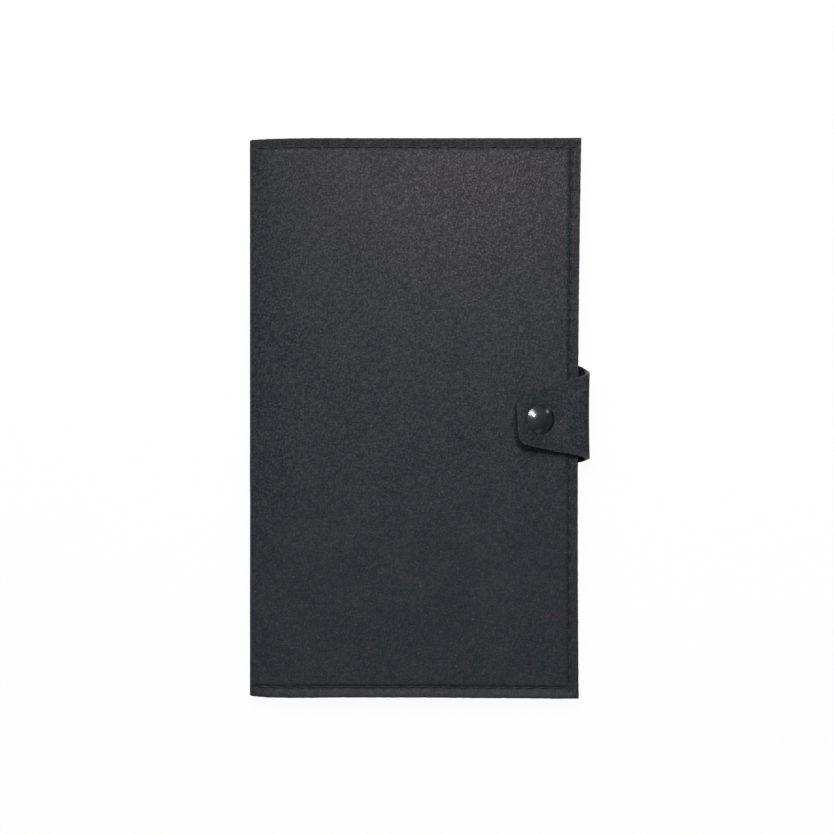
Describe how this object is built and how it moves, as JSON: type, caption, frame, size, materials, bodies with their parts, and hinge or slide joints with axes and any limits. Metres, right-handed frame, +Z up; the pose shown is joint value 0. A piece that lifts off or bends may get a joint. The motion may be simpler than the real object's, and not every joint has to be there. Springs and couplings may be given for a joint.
{
  "type": "travel document pouch",
  "caption": "Book-style felt travel document pouch with inner pockets and card slots, closed by a tapered felt strap that wraps round the free edge to a domed snap.",
  "frame": {"origin": "middle of the back cover's outer face, on which the closed pouch lies", "axes": "+X from the spine to the free edge, +Y along the spine to the top, +Z up through the front cover"},
  "size_m": [0.1338, 0.221, 0.0201],
  "materials": {
    "felt_cover": "charcoal needled felt, mottled, matt",
    "felt_strap": "charcoal needled felt, cut edges",
    "felt_pocket": "thin charcoal felt, matt",
    "seam_thread": "black polyester thread, slight sheen",
    "snap_lacquer": "glossy black lacquer on brass",
    "snap_steel": "dark nickel, satin"
  },
  "bodies": {
    "back_cover": {"back_cover": "felt_cover", "ticket_pocket": "felt_pocket", "back_seam_thread": "seam_thread", "back_inner_thread": "seam_thread", "strap_root": "felt_strap", "strap_root_thread": "seam_thread"},
    "spine": {"spine": "felt_cover"},
    "front_cover": {"front_cover": "felt_cover", "document_pocket": "felt_pocket", "card_slot_1": "felt_pocket", "card_slot_2": "felt_pocket", "card_slot_3": "felt_pocket", "front_seam_thread": "seam_thread", "front_inner_thread": "seam_thread", "snap_stud": "snap_steel", "snap_rivet": "snap_steel"},
    "strap_edge": {"strap_edge": "felt_strap"},
    "strap_flap": {"strap_flap": "felt_strap", "snap_cap": "snap_lacquer", "snap_socket": "snap_steel", "snap_spring": "snap_steel"}
  },
  "joints": [
    {"name": "spine_fold", "type": "hinge", "parent": "back_cover", "child": "spine", "pos_m": [-0.06398, 0, 0.00395], "axis": [0, -1, 0], "range_deg": [0, 90]},
    {"name": "cover_fold", "type": "hinge", "parent": "spine", "child": "front_cover", "pos_m": [-0.06398, 0, 0.00805], "axis": [0, -1, 0], "range_deg": [0, 90]},
    {"name": "strap_root_fold", "type": "hinge", "parent": "back_cover", "child": "strap_edge", "pos_m": [0.0664, 0, 0.0036], "axis": [0, 1, 0], "range_deg": [0, 77]},
    {"name": "strap_tip_fold", "type": "hinge", "parent": "strap_edge", "child": "strap_flap", "pos_m": [0.0688, 0, 0.01399], "axis": [0, 1, 0], "range_deg": [0, 93]}
  ],
  "couplings": [
    {"joint": "cover_fold", "follows": "spine_fold", "ratio": 1}
  ]
}
